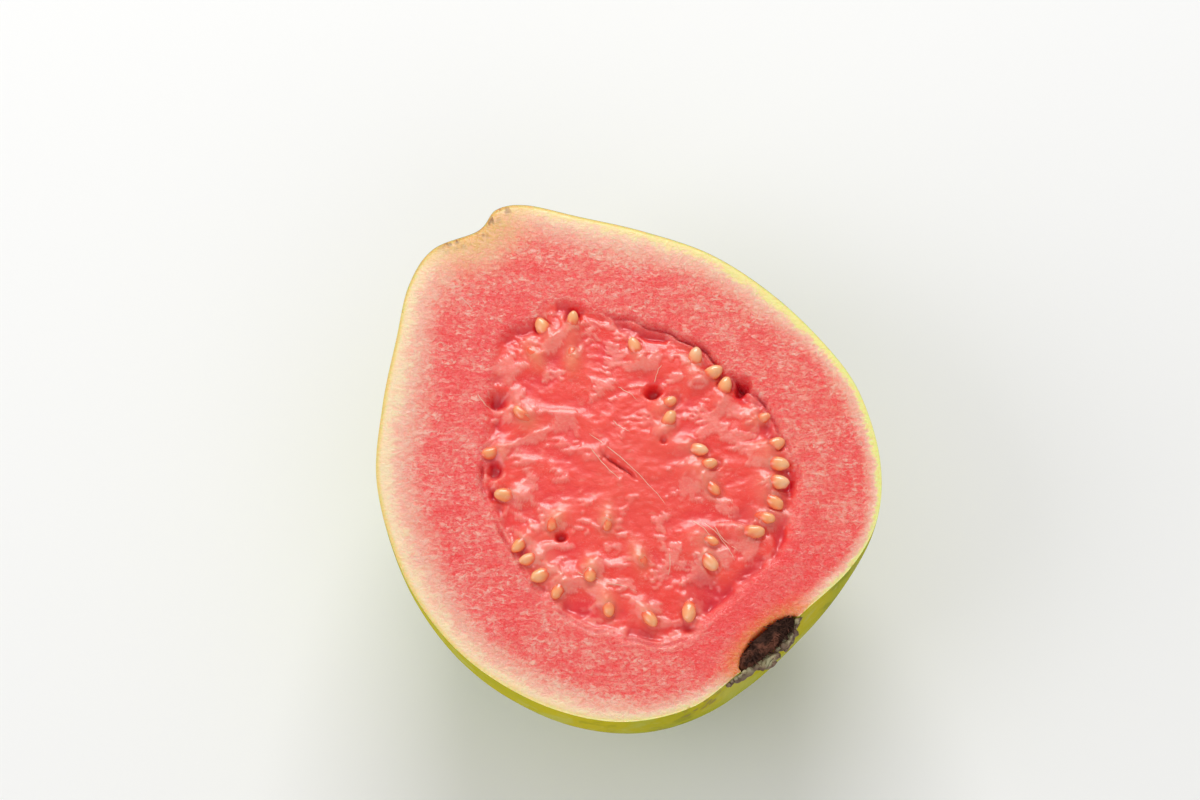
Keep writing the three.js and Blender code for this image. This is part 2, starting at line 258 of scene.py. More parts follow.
def a_share(name, description, default):
    return FloatProperty(name=name, description=description, default=default, subtype="FACTOR")


def a_colour(name, description, default):
    return FloatVectorProperty(name=name, description=description, default=default, subtype="COLOR")


def a_count(name, description, default):
    return IntProperty(name=name, description=description, default=default)


class GuavaShape(PropertyGroup):
    """Sizes of the fruit."""

    face_height: a_length("Face height", "Height of the cut face above the table", 0.036)
    depth_share: a_share("Roundness", "Depth of a cross section over half its width", 0.972)
    belly_shift: a_share("Belly shift", "How much deeper the stalk end is than the calyx end", 0.08)
    pulp_width_share: a_share("Pulp width", "Width of the seed pulp over the width of the fruit", 0.61)
    pulp_length_share: a_share("Pulp length", "Length of the seed pulp over the length of the fruit", 0.68)
    pulp_drop: a_length("Pulp drop", "How far the wet pulp lies below the cut face", 0.0005)
    seam_depth: a_length("Seam depth", "Depth of the open seam round the pulp", 0.0015)
    lump_height: a_length("Lump height", "Height of the torn, wavy lumps of the pulp", 0.00052)
    face_cells: a_count("Face cells", "Cells across the cut face, an even number", 248)
    skin_steps: a_count("Skin steps", "Cells from rim to rim under the fruit", 54)


class GuavaSeeds(PropertyGroup):
    """Sizes of the seeds."""

    length: a_length("Half length", "Half the length of a seed in its sheath", 0.00210)
    width: a_length("Half width", "Half the width of a seed", 0.00104)
    height: a_length("Half height", "Half the height of a seed", 0.00100)
    growth: a_share("Variation", "Share by which seeds differ in size, either way", 0.12)


class GuavaColours(PropertyGroup):
    """Colours of the fruit."""

    flesh: a_colour("Flesh", "Firm flesh between the seam and the pale band", (0.97, 0.120, 0.092))
    flesh_deep: a_colour("Deep flesh", "Flesh between the pale grains", (0.93, 0.045, 0.046))
    grain: a_colour("Grain", "Pale grains of the flesh", (1.0, 0.53, 0.42))
    cream: a_colour("Pale band", "Pale flesh under the skin", (0.94, 0.74, 0.47))
    pulp: a_colour("Pulp", "Wet seed pulp", (0.97, 0.074, 0.050))
    # Painted shade: the darker red laid into the seam, pits, seed niches, slit and hollows
    crevice: a_colour("Crevice", "Depths of the seam and the hollows", (0.74, 0.010, 0.028))
    skin_green: a_colour("Green skin", "Green of the skin", (0.27, 0.36, 0.010))
    skin_yellow: a_colour("Yellow skin", "Yellow of the skin", (0.56, 0.47, 0.010))
    seed: a_colour("Seed", "Seed in its wet sheath", (1.0, 0.37, 0.13))
    calyx: a_colour("Calyx", "Dried remains of the flower", (0.056, 0.021, 0.013))


def settings():
    scene = bpy.context.scene
    return scene.guava_shape, scene.guava_seeds, scene.guava_colours


def draw(number):
    """A repeatable draw between 0 and 1."""
    value = math.sin(number * 12.9898) * 43758.5453
    return value - math.floor(value)


def sway(number):
    """A repeatable draw between -1 and 1."""
    return 2 * draw(number) - 1


def lumps(a, b, size_a, size_b, seed):
    """Smooth noise from about -1 to 1 over two arrays of places, with lumps of the given sizes."""
    places = zip((a / size_a).tolist(), (b / size_b).tolist())
    return np.array([noise.noise((p, q, seed)) for p, q in places])


def smooth_step(low, high, value):
    t = np.clip((value - low) / (high - low), 0, 1)
    return t * t * (3 - 2 * t)


def bell(away, width):
    """1 where away is 0, fading to nothing at about twice the width on either side."""
    return np.exp(-((away / width) ** 2))


def seen_along(x, y, turn):
    """Places measured along a direction at a turn from the x axis, and across it."""
    cos, sin = math.cos(turn), math.sin(turn)
    return x * cos + y * sin, y * cos - x * sin


def outline_points(spans):
    """Points of the closed cut outline, counted in spans from the calyx end up the right side."""
    count = len(OUTLINE)
    first = np.floor(spans).astype(int)
    t = (spans - first)[:, None]
    a, b, c, d = (OUTLINE[(first + k) % count] for k in (-1, 0, 1, 2))
    return 0.5 * (
        2 * b
        + (c - a) * t
        + (2 * a - 5 * b + 4 * c - d) * t**2
        + (3 * b - a - 3 * c + d) * t**3
    )


def pulp_edge(rim):
    shape = settings()[0]
    return rim * (shape.pulp_width_share, shape.pulp_length_share) + PULP_SHIFT


def pulp_reach(bearings):
    """Distance from the pulp's centre to its edge at each bearing."""
    spans = np.arange(0, 2 * SPANS, 0.04)
    away = pulp_edge(outline_points(spans)) - PULP_CENTRE
    angles = np.arctan2(away[:, 1], away[:, 0])
    order = np.argsort(angles)
    reach = np.hypot(away[:, 0], away[:, 1])[order]
    return np.interp(bearings, angles[order], reach, period=2 * math.pi)


def pulp_place(bearing, share):
    """The place on the cut face at a bearing in degrees and a share of the way to the pulp's edge."""
    angle = math.radians(bearing)
    reach = share * pulp_reach(np.array([angle]))[0]
    return (PULP_CENTRE[0] + reach * math.cos(angle), PULP_CENTRE[1] + reach * math.sin(angle))


def stretches(bearing, table):
    """Strength at each bearing of what is stated as a table of bearing, spread and strength."""
    total = np.zeros_like(bearing)
    for middle, spread, strength in table:
        off = np.angle(np.exp(1j * (bearing - math.radians(middle))))
        total += strength * bell(off, math.radians(spread))
    return np.clip(total, 0, 1)


def list_seeds():
    """Place, turn, tilt and size of every seed, how far it is covered, and how far its niche gapes."""
    found = []
    for row, (count, bearings, shares, covers) in enumerate(SEED_ROWS):
        for k in range(count):
            t = k / (count - 1) if count > 1 else 0
            number = 10 * row + k + 1
            bearing = bearings[0] + (bearings[1] - bearings[0]) * t
            share = shares[0] + (shares[1] - shares[0]) * t
            found.append(
                {
                    "place": pulp_place(bearing, share),
                    "turn": math.radians(bearing + 180 + SEED_TURN * sway(number)),
                    "tilt": math.radians(15 + 8 * sway(number + 300)),
                    "size": 1 + settings()[1].growth * sway(number + 600),
                    "cover": covers[0] + (covers[1] - covers[0]) * t,
                    "gap": draw(number + 1200),
                }
            )
    return found


def seed_relief(x, y, seeds):
    """How the pulp swells over a seed's inner end, gapes round its outer end, and glows over the seed."""
    sizes = settings()[1]
    swell, niche, glow = (np.zeros_like(x) for _ in range(3))
    for seed in seeds:
        away_x, away_y = x - seed["place"][0], y - seed["place"][1]
        near = np.hypot(away_x, away_y) < SEED_INFLUENCE
        inward, across = seen_along(away_x[near], away_y[near], seed["turn"])
        over = 0.0018 * (1 - seed["cover"])
        swell[near] += bell(inward - over, SWELL_SIZE[0]) * bell(across, SWELL_SIZE[1])
        reach = np.hypot(inward / sizes.length, across / sizes.width)
        outer = smooth_step(0.0006, -0.0010, inward) * (1 - 0.8 * seed["cover"])
        niche[near] += bell(reach - NICHE_RING, NICHE_WIDTH) * outer * (0.25 + 0.75 * seed["gap"])
        glow[near] += bell(reach, 1.15) * (0.25 + 0.75 * seed["cover"])
    return np.clip(swell, 0, 1.3), np.clip(niche, 0, 1), np.clip(glow, 0, 1)


def pulp_relief(x, y, seam, seeds):
    """Height over the cut plane, and the masks that colour it, at places a distance outside the seam."""
    shape = settings()[0]
    bearing = np.arctan2(y - PULP_CENTRE[1], x - PULP_CENTRE[0])
    drag, rise = seen_along(x, y, DRAG_TURN)
    ring_x, ring_y = 2.4 * np.cos(bearing), 2.4 * np.sin(bearing)
    wander = SEAM_WANDER * lumps(ring_x, ring_y, 1, 1, 4.2)
    seam = seam + wander + 0.5 * SEAM_WANDER * lumps(ring_x, ring_y, 0.25, 0.25, 7.7)
    inside = smooth_step(0.0004, -0.0016, seam)
    torn_seam = smooth_step(-0.25, 0.15, lumps(ring_x, ring_y, 0.42, 0.42, 2.6))
    opened = stretches(bearing, OPEN_SEAM) * torn_seam
    lipped = stretches(bearing, PALE_LIP) * (0.4 + 0.6 * torn_seam)

    # Broad lumps with folds and fine tears on them, drawn out along the knife's way
    warp_a = lumps(drag, rise, 0.0075, 0.0075, 3.1)
    warp_b = lumps(drag, rise, 0.0060, 0.0060, 8.7)
    bent, lifted = drag + 0.003 * warp_a, rise + 0.003 * warp_b
    broad = lumps(bent, lifted, *LUMP_SIZE, 1.7)
    folded = lumps(drag + 0.002 * warp_b, rise + 0.0022 * warp_a, *FOLD_SIZE, 5.2)
    folds = 0.55 - 2.0 * np.abs(folded)
    fine = lumps(drag, rise, *TEAR_SIZE, 9.4)
    core = bell(np.clip(seam + pulp_reach(bearing), 0, None), CORE_RADIUS)
    torn = 0.66 * broad * (1 - 0.4 * core) + 0.12 * folds * (1 - 0.8 * core) + 0.14 * fine
    torn = shape.lump_height * torn
    film = lumps(bent + 0.0012 * fine, lifted + 0.0010 * fine, *FILM_SIZE, 12.3)
    film = film + 0.25 * fine + 0.2 * broad
    # Near the seed ring the film spreads wider, and its painted sheen with it
    wet_ring = bell(seam + 0.0045, 0.0035)
    start = 0.10 + 0.20 * core - 0.16 * wet_ring
    film = smooth_step(0.03, 0.16, film - start)

    # The seam: a crevice where it gapes, a shallow trough inside it, and pale lips and hollows along it
    crevice = opened * bell(seam, 0.00030)
    trough = bell(seam + 0.0012, 0.0012) * (0.2 + 0.8 * opened)
    lip = lipped * (bell(seam - 0.00055, 0.0003) + 0.8 * bell(seam + 0.00055, 0.00025))
    edging = bell(seam + 0.0004, 0.0009) * smooth_step(-0.3, 0.2, lumps(x, y, 0.0026, 0.0014, 18.3))
    edging = edging * stretches(bearing, PALE_LIP[:1])
    hollow = bell(seam + 0.0015, 0.0013) * smooth_step(0.0, 0.3, lumps(x, y, 0.0030, 0.0030, 15.2))
    swell, niche, glow = seed_relief(x, y, seeds)

    pit, depth = np.zeros_like(x), np.zeros_like(x)
    for bearing_deg, share, radius, deep in SOCKETS:
        place = pulp_place(bearing_deg, share)
        away = np.hypot(x - place[0], 1.15 * (y - place[1])) / radius
        away = away * (1 + 0.25 * lumps(x, y, 0.0012, 0.0012, 4.4))
        hole = np.exp(-(away**4))
        pit = np.maximum(pit, hole * min(1, deep / 0.0013))
        depth = np.maximum(depth, hole * deep)
    aside, along = seen_along(x - SLIT_CENTRE[0], y - SLIT_CENTRE[1], SLIT_TURN)
    aside = aside + 0.0005 * np.sin(along / 0.0021) + 0.0002 * lumps(x, y, 0.0008, 0.0008, 6.6)
    taper = np.clip(1 - (2 * along / SLIT_LENGTH) ** 2, 0, 1)
    slit = taper * bell(aside, SLIT_WIDTH)

    height = inside * (torn + CORE_RISE * core - shape.pulp_drop)
    height += LIP_RISE * lip - shape.seam_depth * crevice - TROUGH_DEPTH * trough - HOLLOW_DEPTH * hollow
    height += inside * (SWELL_RISE * swell - NICHE_DEPTH * niche + FILM_RISE * film)
    height -= depth + SLIT_DEPTH * slit
    masks = {
        "pulp": inside,
        # Deep: where painted shade goes, in the open seam, pits, seed niches, slit and hollows
        "deep": np.clip(crevice + 0.9 * pit + 0.7 * niche * inside + 0.9 * slit + 0.75 * hollow, 0, 1),
        "pale": np.clip(lip + 1.3 * edging + 0.45 * inside * swell, 0, 1),
        "film": inside * film * (1 - niche),
        "glow": inside * glow,
        # Crest: the height of the torn relief; the pulp's painted shade is laid low down by it
        "crest": np.clip(0.5 + 0.5 * inside * torn / shape.lump_height, 0, 1),
        "core": core,
    }
    return height, masks


def face_heights(x, y, seeds):
    """Heights of the finished cut face at places in the pulp."""
    away_x, away_y = x - PULP_CENTRE[0], y - PULP_CENTRE[1]
    seam = np.hypot(away_x, away_y) - pulp_reach(np.arctan2(away_y, away_x))
    return settings()[0].face_height + pulp_relief(x, y, seam, seeds)[0]


def face_height(place, seeds):
    """Height of the finished cut face at one place."""
    return face_heights(np.array([place[0]]), np.array([place[1]]), seeds)[0]


def calyx_frame():
    """The calyx's place in the rim of the cut face, and the ways out along its axis and across the face."""
    cos, sin = math.cos(CALYX_TURN), math.sin(CALYX_TURN)
    end = np.array((*CALYX_END, settings()[0].face_height))
    return end, np.array((sin, -cos, 0)), np.array((cos, sin, 0))


def band_width(bearing):
    """Width of the pale band under the skin: wide at the left and the stalk end, narrow at the right."""
    lean = np.cos(bearing - math.radians(118))
    return 0.0022 + 0.0012 * lean + 0.0004 * lumps(np.cos(bearing), np.sin(bearing), 0.4, 0.4, 2.2)


def move_points(mesh, points):
    mesh.vertices.foreach_set("co", np.asarray(points, dtype=np.float32).ravel())
    mesh.update()


def read_points(mesh):
    points = np.empty(3 * len(mesh.vertices))
    mesh.vertices.foreach_get("co", points)
    return points.reshape(-1, 3)


def store(mesh, name, values):
    layer = mesh.attributes.get(name) or mesh.attributes.new(name, "FLOAT", "POINT")
    layer.data.foreach_set("value", np.asarray(values, dtype=np.float32))


def add_grid(name, cells_x, cells_y):
    bpy.ops.object.select_all(action="DESELECT")
    bpy.ops.mesh.primitive_grid_add(x_subdivisions=cells_x, y_subdivisions=cells_y, size=2)
    grid = bpy.context.object
    grid.name = grid.data.name = name
    return grid


def hollow_for_calyx(points):
    """Presses the fruit's end in where the dried calyx sits. The skin round it swells a little."""
    end, outward, sideways = calyx_frame()
    out, across = (points - end) @ outward, (points - end) @ sideways
    below = settings()[0].face_height - points[:, 2]
    radius = np.hypot(across, below / CALYX_SQUAT)
    wide, deep = PLUG_RADIUS + CALYX_GAP, PLUG_DEPTH + CALYX_GAP
    tube = smooth_step(1.03, 0.93, radius / wide) * smooth_step(-0.011, -0.006, out)
    footprint = np.hypot(across / wide, np.clip(-out, 0, None) / deep)
    inward = np.maximum(smooth_step(0.0002, 0.0012, below), 1 - smooth_step(0.0, 0.0012, -out))
    pressed = points - outward * (tube * inward * 0.0026)[:, None]
    swollen = bell(radius - 0.0075, 0.0016) * smooth_step(0.0, 0.002, below) * (out > -0.008)
    pressed = pressed + outward * (swollen * 0.0005)[:, None]
    lowered = smooth_step(1.04, 0.94, footprint) * (out > -0.006)
    pressed[:, 2] -= 0.95 * lowered * np.clip(0.0027 - below, 0, None)
    fringe = bell(np.clip(footprint - 0.97, 0, None), 0.55) * (out > -0.02)
    return pressed, fringe


def shape_cut_face(face, seeds):
    """Bends a square grid into the cut face: its rings run from the rim over the seam to the middle."""
    shape = settings()[0]
    u, v = read_points(face.data)[:, :2].T
    ring = np.maximum(np.abs(u), np.abs(v))
    scale = np.maximum(ring, 1e-9)
    turn = np.select(
        [(np.abs(v + ring) < 1e-6), (np.abs(u - ring) < 1e-6), (np.abs(v - ring) < 1e-6)],
        [(u / scale + 1) / 8, 0.25 + (v / scale + 1) / 8, 0.5 + (1 - u / scale) / 8],
        0.75 + (1 - v / scale) / 8,
    )
    rim = outline_points((2 * SPANS * (turn - 0.125)) % (2 * SPANS))
    edge = pulp_edge(rim)
    share = np.clip(ring / PULP_GRID_SHARE, 0, 1)[:, None]
    band = np.clip((ring - PULP_GRID_SHARE) / (1 - PULP_GRID_SHARE), 0, 1)[:, None]
    flat = np.where(band > 0, edge + (rim - edge) * band, PULP_CENTRE + (edge - PULP_CENTRE) * share)
    x, y = flat.T
    width = np.hypot(*(rim - edge).T)
    reach = np.hypot(*(edge - PULP_CENTRE).T)
    seam = np.where(band[:, 0] > 0, band[:, 0] * width, (share[:, 0] - 1) * reach)
    from_rim = (1 - band[:, 0]) * width

    height, masks = pulp_relief(x, y, seam, seeds)
    knife = KNIFE_WAVE * (lumps(x, y, 0.021, 0.013, 6.1) + 0.5 * lumps(x, y, 0.0021, 0.0013, 2.9))
    height += knife * smooth_step(0, 0.003, from_rim) - RIM_DROP * bell(from_rim, 0.00030)
    height[ring > 1 - 1e-6] = -RIM_DROP
    points = np.column_stack((x, y, shape.face_height + height))
    points, fringe = hollow_for_calyx(points)
    bearing = np.arctan2(y - PULP_CENTRE[1], x - PULP_CENTRE[0])
    move_points(face.data, points)
    stalk = bell(np.hypot(x - STALK_END[0], 1.6 * (y - STALK_END[1])), 0.0075)
    spots = smooth_step(0.18, 0.40, lumps(x, y, 0.0008, 0.0006, 21.5)) * smooth_step(0.0024, 0.0004, from_rim)
    masks["scar"] = np.clip(spots * smooth_step(0.25, 0.7, stalk), 0, 1)
    masks["tint"] = np.clip(1.2 * fringe + stalk, 0, 1)
    near_calyx = bell(np.hypot(x - CALYX_END[0], y - CALYX_END[1]), 0.0085)
    masks["band"] = np.clip(from_rim / band_width(bearing) + 1.4 * near_calyx, 0, 3)
    masks["lean"] = 0.5 + 0.5 * np.cos(bearing - math.radians(-20))
    masks["ruddy"] = bell(np.hypot(x - RUDDY_PLACE[0], y - RUDDY_PLACE[1]), RUDDY_RADIUS)
    for name, values in masks.items():
        store(face.data, name, values)


def shape_skin(skin):
    """Bends a grid into the skin, from rim to rim under the fruit and from the calyx to the stalk end."""
    shape = settings()[0]
    u, v = read_points(skin.data)[:, :2].T
    station = (u + 1) / 2 * SPANS
    steps = (v + 1) / 2
    angle = math.pi / 2 * (1 - np.cos(math.pi * steps))
    right = outline_points(station)
    left = outline_points(2 * SPANS - station)
    middle, half = (right + left) / 2, (right - left) / 2
    half_width = np.hypot(*half.T)
    share = station / SPANS
    depth = half_width * shape.depth_share * (1 + shape.belly_shift * middle[:, 1] / STALK_END[1])
    away = np.sin(angle)
    ends = np.sin(math.pi * share)
    furrow = FURROW_DEPTH * np.sin(4 * angle) ** 4 * bell(share, 0.3)
    wave = WAVE_HEIGHT * away * np.sin(5 * angle + 3 * share) * np.sin(9 * share + 1.3)
    across = half_width * np.cos(angle)
    dents = DENT_DEPTH * lumps(across, middle[:, 1], 0.0075, 0.0105, 1.1) * away
    shrink = 1 - (ends * (furrow * away + wave + dents)) / np.maximum(half_width, 0.001)
    flat = middle + half * (np.cos(angle) * shrink)[:, None]
    points = np.column_stack((flat, shape.face_height - depth * away * shrink - RIM_DROP * (away < 1e-9)))
    points, _ = hollow_for_calyx(points)
    on_rim = np.sin(angle) < 1e-6
    points[on_rim, 2] = np.minimum(points[on_rim, 2], shape.face_height - RIM_DROP)
    points[:, 2] = np.maximum(points[:, 2], 0)
    move_points(skin.data, points)
    for name in MASKS:
        store(skin.data, name, np.zeros(len(points)))
    store(skin.data, "crest", np.full(len(points), 0.5))
    store(skin.data, "lean", 0.5 + 0.5 * np.cos(np.arctan2(points[:, 1], points[:, 0]) + math.radians(20)))


def fill(tree, node, inputs):
    """Fills a node's inputs: a value is set on its socket, and a socket is linked to it."""
    for key, value in inputs.items():
        if isinstance(value, bpy.types.NodeSocket):
            tree.links.new(value, node.inputs[key])
        else:
            node.inputs[key].default_value = value


def put(tree, kind, inputs=None, **choices):
    """Adds a node, makes its choices and fills its inputs."""
    node = tree.nodes.new(kind)
    for name, value in choices.items():
        setattr(node, name, value)
    fill(tree, node, inputs or {})
    return node


def maths(tree, operation, first, second=0.0, clamp=False):
    return put(tree, "ShaderNodeMath", {0: first, 1: second}, operation=operation, use_clamp=clamp).outputs[0]


def plus(tree, first, second, clamp=False):
    return maths(tree, "ADD", first, second, clamp)


def minus(tree, first, second):
    return maths(tree, "SUBTRACT", first, second)


def times(tree, first, second):
    return maths(tree, "MULTIPLY", first, second)


def vectors(tree, operation, inputs):
    return put(tree, "ShaderNodeVectorMath", inputs, operation=operation).outputs


def ranged(tree, value, low, high, to_low=0.0, to_high=1.0):
    inputs = {"Value": value, "From Min": low, "From Max": high, "To Min": to_low, "To Max": to_high}
    return put(tree, "ShaderNodeMapRange", inputs, interpolation_type="SMOOTHSTEP").outputs[0]


def mixed(tree, factor, first, second):
    """The colour output of a mix of two colours."""
    return put(tree, "ShaderNodeMix", {0: factor, 6: first, 7: second}, data_type="RGBA").outputs[2]


def layered(tree, colour, layers):
    """Lays shades over a colour in turn, each by its own factor."""
    for factor, shade in layers:
        colour = mixed(tree, factor, colour, shade)
    return colour


def attribute(tree, name):
    return put(tree, "ShaderNodeAttribute", attribute_name=name).outputs["Fac"]


def object_place(tree):
    return put(tree, "ShaderNodeTexCoord").outputs["Object"]


def coordinate(tree, name):
    return put(tree, "ShaderNodeSeparateXYZ", {0: object_place(tree)}).outputs[name]


def clouds(tree, place, scale, **form):
    """The outputs of a noise texture, whose detail, roughness and distortion are given in form."""
    return put(tree, "ShaderNodeTexNoise", {"Vector": place, "Scale": scale, **form}).outputs


def rgba(colour):
    return (*colour, 1.0)


def new_group(name, inputs, outputs):
    """An empty shader node group with float inputs, given with their defaults, and float outputs."""
    group = bpy.data.node_groups.new(name, "ShaderNodeTree")
    for label, default in inputs:
        socket = group.interface.new_socket(label, in_out="INPUT", socket_type="NodeSocketFloat")
        socket.default_value = default
    for label in outputs:
        group.interface.new_socket(label, in_out="OUTPUT", socket_type="NodeSocketFloat")
    return group, put(group, "NodeGroupInput").outputs, put(group, "NodeGroupOutput")


def grain_group():
    """Flesh dragged out by the knife: pale specks, veins and clumps and a height, at a size in metres."""
    inputs, outputs = (("Size", 0.0006), ("Stretch", 2.0)), ("Speck", "Vein", "Clump", "Height")
    group, given, result = new_group("Dragged grain", inputs, outputs)
    dragged = {"Vector": object_place(group), "Angle": -DRAG_TURN}
    turned = put(group, "ShaderNodeVectorRotate", dragged, rotation_type="Z_AXIS").outputs[0]
    squeeze = put(group, "ShaderNodeCombineXYZ", {0: 1.0, 1: given["Stretch"], 2: 1.0}).outputs[0]
    pulled = vectors(group, "MULTIPLY", {0: turned, 1: squeeze})[0]
    sized = vectors(group, "SCALE", {0: pulled, 3: maths(group, "DIVIDE", 1.0, given["Size"])})[0]
    cloud = clouds(group, sized, 1.3, Detail=2.5, Roughness=0.6)
    pushed = vectors(group, "MULTIPLY_ADD", {0: cloud["Color"], 1: (0.9, 0.9, 0.9), 2: sized})[0]

    cells = put(group, "ShaderNodeTexVoronoi", {"Vector": pushed, "Scale": 1.0}).outputs
    picked = put(group, "ShaderNodeSeparateColor", {0: cells["Color"]}).outputs[0]
    bead = ranged(group, cells["Distance"], 0.12, 0.62, 1.0, 0.0)
    speck = times(group, bead, ranged(group, picked, 0.30, 1.0))
    speck = times(group, speck, ranged(group, cloud["Fac"], 0.36, 0.62))
    wavy = clouds(group, sized, 0.85, Detail=1.5, Distortion=0.8)["Fac"]
    ridge = maths(group, "ABSOLUTE", minus(group, wavy, 0.5))
    vein = ranged(group, ridge, 0.0, 0.045, 1.0, 0.0)
    vein = times(group, vein, ranged(group, cloud["Fac"], 0.40, 0.60))
    clump = clouds(group, sized, 0.62, Detail=3.0, Roughness=0.72, Distortion=0.5)["Fac"]
    height = plus(group, times(group, bead, 0.45), times(group, cloud["Fac"], 0.6))
    clump = ranged(group, clump, 0.36, 0.66)
    fill(group, result, {"Speck": speck, "Vein": vein, "Clump": clump, "Height": height})
    return group


def mottle_group():
    """Slow blotches: a value from 0 to 1 with soft and fine edges together, at a size in metres."""
    group, given, result = new_group("Mottle", (("Size", 0.01), ("Contrast", 1.0)), ("Mottle",))
    scale = maths(group, "DIVIDE", 1.0, given["Size"])
    cloud = clouds(group, object_place(group), scale, Detail=5.0, Distortion=0.4)["Fac"]
    spread = times(group, minus(group, cloud, 0.5), times(group, given["Contrast"], 2.6))
    fill(group, result, {"Mottle": plus(group, spread, 0.5, clamp=True)})
    return group


def place_group(tree, group, **inputs):
    """The outputs of a shared node group, placed with its own values."""
    return put(tree, "ShaderNodeGroup", inputs, node_tree=group).outputs


def new_material(name):
    material = bpy.data.materials.new(name)
    material.use_nodes = True
    tree = material.node_tree
    return material, tree, tree.nodes["Principled BSDF"]


def finish_surface(tree, shader, colour, roughness, height, bump, finish=None):
    """Feeds a colour, a roughness and a bump height to a shader, and sets the rest of its finish."""
    distance, strength = bump
    bumps = put(tree, "ShaderNodeBump", {"Height": height, "Distance": distance, "Strength": strength})
    fill(tree, shader, {"Base Color": colour, "Roughness": roughness, "Normal": bumps.outputs[0]})
    fill(tree, shader, finish or {})


def firm_flesh(tree, mask, fine, coarse, drift, slow, patches):
    """Firm flesh: red between pale grains, specks and veins, and calmer where it is ruddy."""
    colours = settings()[2]
    red, pale = rgba(colours.flesh_deep), rgba(colours.grain)
    calm = minus(tree, 1.0, times(tree, mask["ruddy"], 0.75))
    flush = ranged(tree, mask["band"], 1.0, 4.6, 0.50, 0.0)
    flush = times(tree, times(tree, flush, ranged(tree, slow, 0.2, 0.9, 0.35, 1.0)), calm)
    lit = ranged(tree, coarse["Clump"], 0.1, 0.9, 0.20, 0.68)
    lit = times(tree, times(tree, ranged(tree, fine["Clump"], 0.45, 1.0), lit), calm)
    lit = times(tree, lit, ranged(tree, drift, 0.1, 0.8, 0.7, 1.2))
    specks = times(tree, fine["Speck"], ranged(tree, patches, 0.1, 0.8, 0.32, 0.60))
    veins = times(tree, fine["Vein"], ranged(tree, patches, 0.1, 0.8, 0.20, 0.60))
    dimples = ranged(tree, coarse["Height"], 0.12, 0.34, 0.55, 0.0)
    dimples = times(tree, dimples, ranged(tree, slow, 0.3, 0.7, 1.0, 0.3))
    layers = (
        (times(tree, mask["ruddy"], 0.9), red),
        (ranged(tree, fine["Height"], 0.15, 0.45, 0.45, 0.0), red),
        (ranged(tree, patches, 0.50, 1.0, 0.0, 0.26), pale),
        (ranged(tree, drift, 0.55, 1.0, 0.0, 0.20), pale),
        (flush, mixed(tree, mask["lean"], ROSE_FLUSH, PEACH_FLUSH)),
        (ranged(tree, fine["Clump"], 0.0, 0.55, 0.70, 0.0), red),
        (lit, pale),
        (maths(tree, "MAXIMUM", specks, veins), pale),
        (ranged(tree, drift, 0.0, 0.45, 0.42, 0.0), red),
        (dimples, red),
        (times(tree, coarse["Speck"], 0.30), pale),
        (times(tree, mask["ruddy"], 0.5), red),
    )
    return layered(tree, mixed(tree, slow, red, rgba(colours.flesh)), layers)


def pale_rind(tree, flesh, mask, fine, patches):
    """Lays the pale band over the flesh: peach, then cream, then a lemon or ochre edge at the skin."""
    colours = settings()[2]
    band, lean, cream = mask["band"], mask["lean"], rgba(colours.cream)
    ragged = plus(tree, band, times(tree, minus(tree, 0.5, fine["Clump"]), 0.38))
    ragged = plus(tree, ragged, times(tree, minus(tree, patches, 0.5), 0.5))
    lemon = mixed(tree, lean, OCHRE_RIND, LEMON_RIND)
    turned = ranged(tree, minus(tree, ragged, times(tree, lean, 0.55)), -0.1, 0.40, 0.9, 0.0)
    layers = (
        (ranged(tree, ragged, 0.9, 2.8, 0.75, 0.0), mixed(tree, 0.35, rgba(colours.grain), cream)),
        (ranged(tree, ragged, 0.30, 1.25, 0.95, 0.0), cream),
        (times(tree, turned, lean), lemon),
        (ranged(tree, band, 0.05, 0.30, 1.0, 0.0), lemon),
    )
    return layered(tree, flesh, layers)


def wet_pulp(tree, mask, fine, coarse, slow, patches):
    """Wet pulp: red, made darker between its crests by painted shade, with pale flecks, torn film with a
    painted sheen, and aglow over seeds.
    """
    colours = settings()[2]
    core = mask["core"]
    flecks = times(tree, fine["Vein"], ranged(tree, core, 0.0, 0.9, 0.45, 0.10))
    flecks = times(tree, flecks, ranged(tree, patches, 0.35, 0.75, 0.3, 1.0))
    # Torn film: a paler membrane with a painted sheen on it
    torn = times(tree, mask["film"], ranged(tree, fine["Height"], 0.2, 0.6, 0.40, 0.62))
    torn = times(tree, torn, ranged(tree, core, 0.0, 0.8, 1.25, 0.6))
    layers = (
        (ranged(tree, slow, 0.15, 0.55, 0.7, 0.0), DEEP_PULP),
        (times(tree, core, 0.6), CORE_PULP),
        (times(tree, coarse["Speck"], 0.25), rgba(colours.grain)),
        (flecks, PULP_FLECK),
        (torn, FILM_AND_SHEEN),
        (times(tree, mask["glow"], 0.7), SEED_GLOW),
    )
    # Painted shade: the lower the pulp lies between its crests, the darker red it is
    crests = ranged(tree, mask["crest"], 0.20, 0.60)
    return layered(tree, mixed(tree, crests, SHADED_PULP, rgba(colours.pulp)), layers)


